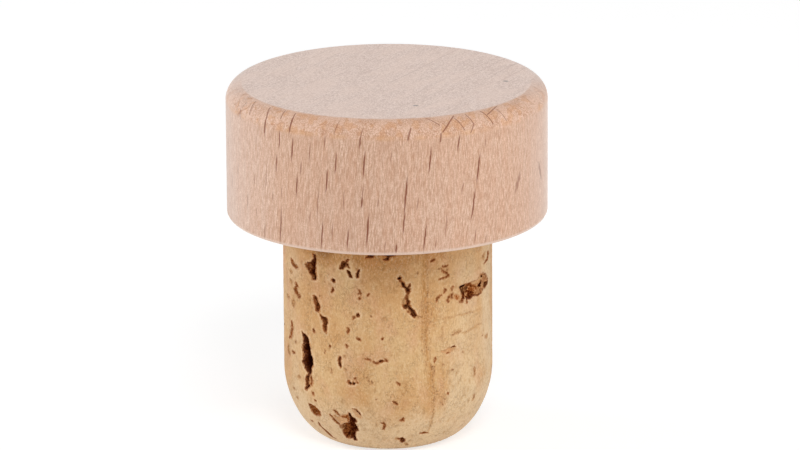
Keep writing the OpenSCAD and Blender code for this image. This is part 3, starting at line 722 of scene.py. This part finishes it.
def carve_cork(azimuth, run):
    """All the pits of the cork: those in the photo, those of the back, and small nicks over the rest."""
    skin = Skin(azimuth, run)
    for kind, points in PITS:
        skin.carve(kind, points)
    for kind, width, points in CRACKS:
        skin.carve(kind, points, width)
    for points, dark, red, soft in FLOORS:
        skin.tint(points, dark, red, soft)
    for azimuth, height, kind, shape, side in BACK_PITS:
        radius = float(np.interp(skin.run_at(height), PROFILE_RUN, PROFILE_R))
        points = [(azimuth + math.degrees(side * x / radius), height + y) for x, y in PIT_SHAPES[shape]]
        skin.carve(kind, points)

    # Short fine lines along the dark growth ring, then nicks of each kind over the back
    dice = np.random.default_rng(7)
    for _ in range(34):
        azimuth = dice.uniform(18.5, 24)
        height = dice.uniform(-12, -5.5)
        end = (azimuth + dice.uniform(-0.8, 0.8), height - dice.uniform(0.25, 0.7))
        skin.carve("line", [(azimuth, height), end], 0.12)
    lowest = -21.2
    for _ in range(120):
        azimuth = dice.uniform(80, 280)
        height = dice.uniform(-20.8, -1.2)
        kind = dice.choice(["faint", "nick", "nick", "crack"])
        lean = dice.uniform(-25, 25)
        length = dice.uniform(0.2, 1.1)
        points = [(azimuth, height)]
        for _ in range(2):
            lean += dice.uniform(-40, 40)
            step = math.radians(90 + lean)
            azimuth += math.degrees(0.5 * length * math.cos(step) / CORK_R)
            height -= 0.5 * length * abs(math.sin(step))
            points.append((azimuth, max(height, lowest)))
        skin.carve(str(kind), points, dice.uniform(0.2, 0.34))
    return skin


def net_places(net):
    """Azimuth and run of each point of the net."""
    spots = np.array([tuple(point.co) for point in net.verts])
    azimuth = np.degrees(np.arctan2(spots[:, 0], -spots[:, 1]))
    return azimuth, spots[:, 2]


def cork_net():
    """The skin laid out as a tube, with its run for height, and with smaller faces where the pits are."""
    net = bmesh.new()
    front = np.linspace(-80, 80, 177)[:-1]
    back = np.linspace(80, 280, 109)[:-1]
    turns = np.radians(np.concatenate([front, back]))
    wall_end = PROFILE_RUN[-2]
    foot = [wall_end + PROFILE_R[-2] - r for r in (5.2, 4.7, 4.1, 3.5, 2.9, 2.3, 1.7, 1.1, 0.5)]
    seat = [PROFILE_RUN[1], 0.5 * (PROFILE_RUN[1] + PROFILE_RUN[2]), PROFILE_RUN[2]]
    runs = seat + list(np.linspace(0, wall_end, 138)) + foot
    rings = [[net.verts.new((math.sin(turn), -math.cos(turn), run)) for turn in turns] for run in runs]
    for upper, lower in zip(rings, rings[1:]):
        for j in range(-1, len(turns) - 1):
            net.faces.new((lower[j], lower[j + 1], upper[j + 1], upper[j]))
    seat_middle = net.verts.new((0, 0, PROFILE_RUN[0]))
    foot_middle = net.verts.new((0, 0, PROFILE_RUN[-1]))
    for j in range(-1, len(turns) - 1):
        net.faces.new((seat_middle, rings[0][j], rings[0][j + 1]))
        net.faces.new((foot_middle, rings[-1][j + 1], rings[-1][j]))

    # Faces within this reach in mm of a pit are split, all round, and on the side of the photo once more
    for reach, side in ((0.16, 180), (0.07, 78)):
        net.verts.index_update()
        azimuth, run = net_places(net)
        near = (carve_cork(azimuth, run).edge > -reach) & (np.abs(azimuth) <= side)
        chosen = [line for line in net.edges if near[line.verts[0].index] and near[line.verts[1].index]]
        bmesh.ops.subdivide_edges(net, edges=chosen, cuts=1, use_grid_fill=True, use_single_edge=True)
    return net


def cork_mesh():
    """One closed mesh of the skin, that stores each point's edge distance, darkness, redness and strip, the
    strip with its painted shade and light.
    """
    net = cork_net()
    azimuth, run = net_places(net)
    skin = carve_cork(azimuth, run)
    wide = np.radians(azimuth) * CORK_R
    slope = np.interp(run, PROFILE_RUN, PROFILE_SLOPE)
    rough = 0.018 * ripple(wide, run, 0.3, 5) + 0.02 * ripple(wide, run, 1.1, 6)
    crumbs = 0.09 * ripple(wide, run, 0.3, 8) + 0.05 * ripple(wide, run, 0.15, 9)
    floor_rough = np.clip(skin.sink / 0.4, 0, 1) * crumbs
    open_wall = np.clip(run / 0.8, 0, 1)
    inwards = np.maximum(skin.sink * open_wall - floor_rough - np.minimum(rough, 0) * open_wall, 0)
    inwards[run < 0.001] = 0
    radius = np.maximum(skin.radius - inwards * np.cos(slope), 0)
    height = np.interp(run, PROFILE_RUN, PROFILE_Z) + inwards * np.sin(slope)
    turn = np.radians(azimuth)
    points = np.stack([radius * np.sin(turn), -radius * np.cos(turn), height], -1) * MM
    for point, place in zip(net.verts, points.tolist()):
        point.co = place
    mesh = bpy.data.meshes.new("cork")
    net.to_mesh(mesh)
    net.free()
    stored = {"edge": skin.edge, "dark": skin.dark, "red": skin.red, "band": growth_band(skin)}
    for name, values in stored.items():
        mesh.attributes.new(name, "FLOAT", "POINT").data.foreach_set("value", values.astype(np.float32))
    mesh.shade_smooth()
    return mesh


def hill(place, middle, width, power=2):
    """1 at the middle, and smoothly less away from it."""
    return np.exp(-((place - middle) / width) ** power)


def growth_band(skin):
    """The bark's upright growth strips, with painted shade under the cap and painted light low down and at
    the right: above 0 darker and warmer, below 0 paler.
    """
    azimuth = (skin.azimuth + 180) % 360 - 180
    run = skin.run
    wide = np.radians(azimuth) * CORK_R
    azimuth = azimuth + 1.6 * ripple(wide, run, 2.2, 11) + 0.6 * ripple(wide, run, 0.6, 12)

    # The dark growth ring at the right: soft on its left side, sharp on its right, a fainter strip beyond it
    ring = np.interp(run, [0, 5, 9, 13, 18, 23], [21, 20.6, 19.4, 22.5, 23.5, 23.5])
    past = azimuth - ring
    band = 0.85 * hill(np.minimum(past, 0.8), 0.8, 3.2) * np.where(past < 0.8, 1, np.exp(-(past - 0.8) / 0.9))
    band = band + 0.5 * hill(past, 1.1, 0.5) + 0.35 * hill(past, 5, 2) * (run < 12)
    band = 0.85 * band * np.clip((20 - run) / 6, 0, 1)

    # Other strips: the azimuth of the middle, the width in degrees, and the share. The pale strip at 72
    # degrees is painted light on the cork's far right edge
    for middle, width, share in (
            (-62, 12, -0.4), (-22, 9, -0.3), (42, 11, -0.38), (72, 10, -0.75), (88, 5, 0.5), (121, 8, -0.4),
            (158, 4, 0.6), (-150, 9, -0.3), (-118, 5, 0.5)):
        band = band + share * hill(azimuth, middle, width)

    # Painted shade under the cap, most left of the middle and more at the upper left; a warm patch low down;
    # painted light, paler, low down and at the right
    # Painted shade: the cork is darker just under the cap, where the cap shades it
    painted_cap_shade = hill(azimuth, -24, 40, 4) + 0.5 * hill(azimuth, 18, 14)
    band = band + 2.2 * hill(run, 0, 1.95) * painted_cap_shade + 0.4 * np.exp(-run / 1.8)
    # More painted shade under the cap at the upper left
    band = band + hill(run, 2.1, 1.2) * hill(azimuth, -36, 8)
    band = band + 0.3 * hill(run, 14, 3) * hill(azimuth, 8, 7)
    # Painted light: paler towards the foot, as if lit from the floor below
    band = band - 0.95 * np.clip((run - 14.8) / 4, 0, 1)
    # Painted light: paler on the right side, where the side light falls
    band = band - 0.22 * hill(azimuth, 58, 20) * np.clip(run / 6, 0, 1)
    return band + 0.3 * ripple(wide, run * 0.35, 1.3, 13)


def pore_rule():
    """Geometry Nodes that press the cork's finest pores into its skin, where a cell of the bark holds one."""
    tree = bpy.data.node_groups.new("cork_pores", "GeometryNodeTree")
    tree.interface.new_socket("Geometry", in_out="INPUT", socket_type="NodeSocketGeometry")
    sizes = []
    for name, value in (("Pore Spacing", 0.62 * MM), ("Pore Depth", 0.07 * MM), ("Pore Share", 0.42)):
        sizes.append(tree.interface.new_socket(name, in_out="INPUT", socket_type="NodeSocketFloat"))
        sizes[-1].default_value = value
    finish = tree.interface.new_socket("Finish", in_out="INPUT", socket_type="NodeSocketMaterial")
    tree.interface.new_socket("Geometry", in_out="OUTPUT", socket_type="NodeSocketGeometry")
    given = add(tree, "NodeGroupInput").outputs
    where = add(tree, "GeometryNodeInputPosition").outputs[0]
    upright = vector(tree, "MULTIPLY", where, (1, 1, 0.6))
    count = calc(tree, "DIVIDE", 1.0, given["Pore Spacing"])
    cells = add(tree, "ShaderNodeTexVoronoi", {"Vector": upright, "Scale": count}, feature="F1")
    chance = add(tree, "FunctionNodeSeparateColor", {0: cells.outputs["Color"]}).outputs[0]
    present = calc(tree, "LESS_THAN", chance, given["Pore Share"])
    pore = times(tree, present, fade(tree, cells.outputs["Distance"], 0.34, 0.12))
    press = times(tree, pore, given["Pore Depth"], -1.0)
    normal = add(tree, "GeometryNodeInputNormal").outputs[0]
    move = add(tree, "ShaderNodeVectorMath", {0: normal, "Scale": press}, operation="SCALE").outputs[0]
    inputs = {"Geometry": given["Geometry"], "Name": "pore", "Value": pore}
    known = add(tree, "GeometryNodeStoreNamedAttribute", inputs, data_type="FLOAT", domain="POINT").outputs[0]
    pressed = add(tree, "GeometryNodeSetPosition", {"Geometry": known, "Offset": move}).outputs[0]
    real = add(tree, "GeometryNodeRealizeInstances", {"Geometry": pressed}).outputs[0]
    painted = add(tree, "GeometryNodeSetMaterial", {"Geometry": real, "Material": given["Finish"]}).outputs[0]
    add(tree, "NodeGroupOutput", {"Geometry": painted})
    return tree, sizes, finish


def natural_cork(name, gloss, fuzz):
    """Bare natural cork: tan cells in upright growth strips, finely mottled, with dark, dusty pits, and with
    painted shade under the cap, painted light low down and at the right, and a painted highlight round each
    pit.
    """
    material, tree = new_material(name)
    place = place_in_mm(tree)
    patches = stretched_noise(tree, place, (4.5, 4.5, 7), 3.0)
    warm = stretched_noise(tree, place, (2.2, 2.2, 3.5), 2.0, (8, 2, 5))
    mottle = stretched_noise(tree, place, (0.3, 0.3, 0.5), 2.0, (3, 7, 1))
    flecks = stretched_noise(tree, place, (0.16, 0.16, 0.2), 1.0, (6, 5, 2))
    lenses = stretched_noise(tree, place, (0.12, 0.12, 0.45), 1.0, (5, 9, 8))
    folds = stretched_noise(tree, place, (0.42, 0.42, 0.6), 2.0, (9, 1, 4))
    where_folded = stretched_noise(tree, place, (1.4, 1.4, 1.8), 1.0, (2, 8, 8))
    dust = stretched_noise(tree, place, (0.17, 0.17, 0.2), 3.0, (2, 4, 6))
    band, edge, dark, red, pore = (
        add(tree, "ShaderNodeAttribute", attribute_name=stored).outputs["Fac"]
        for stored in ("band", "edge", "dark", "red", "pore"))

    # The skin: warm and pale patches, the growth strips with their painted shade and light, then mottling,
    # flecks, creases and pores
    crease = fade(tree, calc(tree, "ABSOLUTE", calc(tree, "SUBTRACT", folds, 0.5)), 0.028, 0.004)
    crease = times(tree, crease, fade(tree, where_folded, 0.42, 0.58))
    skin = blend(tree, fade(tree, patches, 0.35, 0.65), srgb("CE9F6B"), srgb("D9B382"))
    # The band's darkest layer, 8A5622, is painted shade under the cap; its pale layer, DFC5A0, is partly
    # painted light low down and at the right
    skin = glaze(tree, skin, (
        (warm, 0.48, 0.7, 0.55, "D3A07A"), (band, 0.1, 0.9, 0.6, "BA8040"), (band, 1.0, 2.2, 0.88, "8A5622"),
        (band, -0.1, -0.9, 0.75, "DFC5A0")))
    skin = glaze(tree, skin, [(lenses, 0.5, 0.64, 0.5, "9C6A30")], fade(tree, band, 0.15, 0.7))
    skin = glaze(tree, skin, (
        (mottle, 0.5, 0.78, 0.42, "BE8C55"), (mottle, 0.46, 0.22, 0.4, "E6C79B"),
        (lenses, 0.56, 0.74, 0.42, "B28150"), (flecks, 0.54, 0.72, 0.3, "B68852"),
        (flecks, 0.46, 0.3, 0.3, "EACFA8")))
    skin = blend(tree, times(tree, crease, 0.35), skin, srgb("AA7843"))
    skin = blend(tree, times(tree, pore, 0.4), skin, srgb("A5733F"))

    # Round a pit the skin is stained orange-brown, and a little further out it has a pale ring that is a
    # painted highlight on the pit's rim. A pit's floor runs from tan through reddish brown to nearly black
    ragged = calc(tree, "MULTIPLY_ADD", calc(tree, "SUBTRACT", flecks, 0.5), 0.2, edge)
    # Painted highlight: a pale ring just outside each pit, left out of the painted shade under the cap
    rim_highlight = times(tree, fade(tree, ragged, -0.34, -0.17), fade(tree, ragged, -0.06, -0.13))
    skin = glaze(tree, skin, [(dark, 0.3, 0.9, 0.35, "EED2AC")], rim_highlight, fade(tree, band, 0.9, 0.3))
    stain = times(tree, fade(tree, ragged, -0.16, -0.02), fade(tree, dark, 0.0, 0.8, 0.1, 0.75))
    skin = blend(tree, stain, skin, srgb("A8601F"))
    inside = times(tree, fade(tree, ragged, -0.07, 0.02), fade(tree, dark, 0.0, 0.5, 0.55, 1.0))
    uneven = calc(tree, "MULTIPLY_ADD", calc(tree, "SUBTRACT", dust, 0.5), 1.7, dark)
    to_brown = fade(tree, uneven, 0.0, 0.55)
    to_black = fade(tree, uneven, 0.45, 1.1)
    ash = blend(tree, to_black, blend(tree, to_brown, srgb("C8A070"), srgb("7A5434")), srgb("200A04"))
    rust = blend(tree, to_black, blend(tree, to_brown, srgb("D29C6C"), srgb("9C5828")), srgb("4A1606"))
    floor = blend(tree, red, ash, rust)
    wall = glaze(tree, floor, [(uneven, 0.3, 1.1, 0.45, "8A4416")])
    floor = blend(tree, fade(tree, ragged, -0.02, 0.1), wall, floor)
    colour = blend(tree, inside, skin, floor)

    relief = calc(tree, "MULTIPLY_ADD", mottle, 0.6, times(tree, flecks, 0.5))
    relief = calc(tree, "MULTIPLY_ADD", lenses, -0.4, calc(tree, "MULTIPLY_ADD", crease, -0.5, relief))
    bare_surface(tree, colour, fade(tree, ragged, -0.05, 0.1, 0.75, 0.98), relief, 0.75, 0.08, gloss, fuzz)
    return material


cork = bpy.data.objects.new("cork", cork_mesh())
bpy.context.scene.collection.objects.link(cork)
cork.data.materials.append(natural_cork("natural_cork", 0.2, 0.12))
rule, rule_sizes, rule_finish = pore_rule()
modifier = cork.modifiers.new("cork_pores", "NODES")
modifier.node_group = rule
for socket in rule_sizes:
    modifier[socket.identifier] = socket.default_value
modifier[rule_finish.identifier] = cork.data.materials[0]
plain = cork.data
cork.data = bpy.data.meshes.new_from_object(cork.evaluated_get(bpy.context.evaluated_depsgraph_get()))
cork.modifiers.clear()
bpy.data.meshes.remove(plain)

# Faces that lie wholly inside a pit get the cork's matt, dusty finish
cork.data.materials.append(natural_cork("cork_pit_dust", 0.0, 0.0))
edges_mm = np.zeros(len(cork.data.vertices), np.float32)
cork.data.attributes["edge"].data.foreach_get("value", edges_mm)
for face in cork.data.polygons:
    if min(edges_mm[i] for i in face.vertices) > 0.02:
        face.material_index = 1
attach(cork, "root")
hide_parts("cork_shank")


# Floor and light: a plain white table under an even, soft studio light. The floor and the room are white to
# the camera, and the floor keeps the stopper's shadow.

# A hair under the foot, so that the two faces don't lie in one plane
FLOOR_Z = -21.52 * MM
WHITE = (1, 1, 1, 1)


def seen_directly(tree):
    """1 for what the camera sees, by itself or in a reflection or through glass, and 0 for other light."""
    path = add(tree, "ShaderNodeLightPath").outputs
    seen = calc(tree, "MAXIMUM", path["Is Camera Ray"], path["Is Glossy Ray"])
    return calc(tree, "MAXIMUM", seen, path["Is Transmission Ray"])


def white_floor():
    """Matt white table top, lifted to white where the camera sees it."""
    material, tree = new_material("white_table")
    seen = seen_directly(tree)
    grey = blend(tree, seen, (0.85, 0.85, 0.85, 1), (0.5, 0.5, 0.5, 1))
    matt = add(tree, "ShaderNodeBsdfDiffuse", {"Color": grey})
    glow = fade(tree, seen, 0, 1, 0.2, 0.64)
    lift = add(tree, "ShaderNodeEmission", {"Color": WHITE, "Strength": glow})
    both = add(tree, "ShaderNodeAddShader", {0: matt.outputs[0], 1: lift.outputs[0]})
    add(tree, "ShaderNodeOutputMaterial", {"Surface": both.outputs[0]})
    return material


def soft_lamp(name, place, size, watts):
    """A round soft lamp at a place in metres, turned towards the stopper."""
    lamp = bpy.data.objects.new(name, bpy.data.lights.new(name, "AREA"))
    lamp.data.shape = "DISK"
    lamp.data.size = size
    lamp.data.energy = watts
    lamp.location = place
    lamp.rotation_euler = (-Vector(place)).to_track_quat("-Z", "Y").to_euler()
    lamp.visible_camera = False
    bpy.context.scene.collection.objects.link(lamp)


floor_mesh = bpy.data.meshes.new("table_top")
sheet = bmesh.new()
bmesh.ops.create_grid(sheet, x_segments=1, y_segments=1, size=1.5)
sheet.to_mesh(floor_mesh)
sheet.free()
floor_mesh.transform(Matrix.Translation((0, 0, FLOOR_Z)))
table_top = bpy.data.objects.new("table_top", floor_mesh)
table_top.data.materials.append(white_floor())
bpy.context.scene.collection.objects.link(table_top)

room = bpy.data.worlds.new("white_room")
room.use_nodes = True
room_tree = room.node_tree
room_tree.nodes.clear()
level = fade(room_tree, seen_directly(room_tree), 0, 1, 0.36, 1.0)
backdrop = add(room_tree, "ShaderNodeBackground", {"Color": WHITE, "Strength": level})
add(room_tree, "ShaderNodeOutputWorld", {"Surface": backdrop.outputs[0]})
bpy.context.scene.world = room
soft_lamp("key_softbox", (0.08, -0.42, 0.42), 0.24, 1.3)
soft_lamp("left_softbox", (-0.5, 0.04, 0.2), 0.35, 1.2)
soft_lamp("right_softbox", (0.49, -0.1, 0.2), 0.35, 0.89)


# Camera: a long lens a little above the stopper, as the photo was taken.

ELEVATION = math.radians(16.087)
ROLL = math.radians(-0.365)
DISTANCE = 0.6
camera = bpy.data.objects.new("camera", bpy.data.cameras.new("camera"))
camera.data.lens = 288.6
camera.data.sensor_width = 36
camera.data.shift_x = 0.0158
camera.data.shift_y = -0.0178
turned = Matrix.Rotation(math.pi / 2 - ELEVATION, 4, "X") @ Matrix.Rotation(ROLL, 4, "Z")
moved = Matrix.Translation((0, -DISTANCE * math.cos(ELEVATION), DISTANCE * math.sin(ELEVATION)))
camera.matrix_world = moved @ turned
bpy.context.scene.collection.objects.link(camera)
bpy.context.scene.camera = camera
bpy.context.scene.view_settings.view_transform = "Standard"
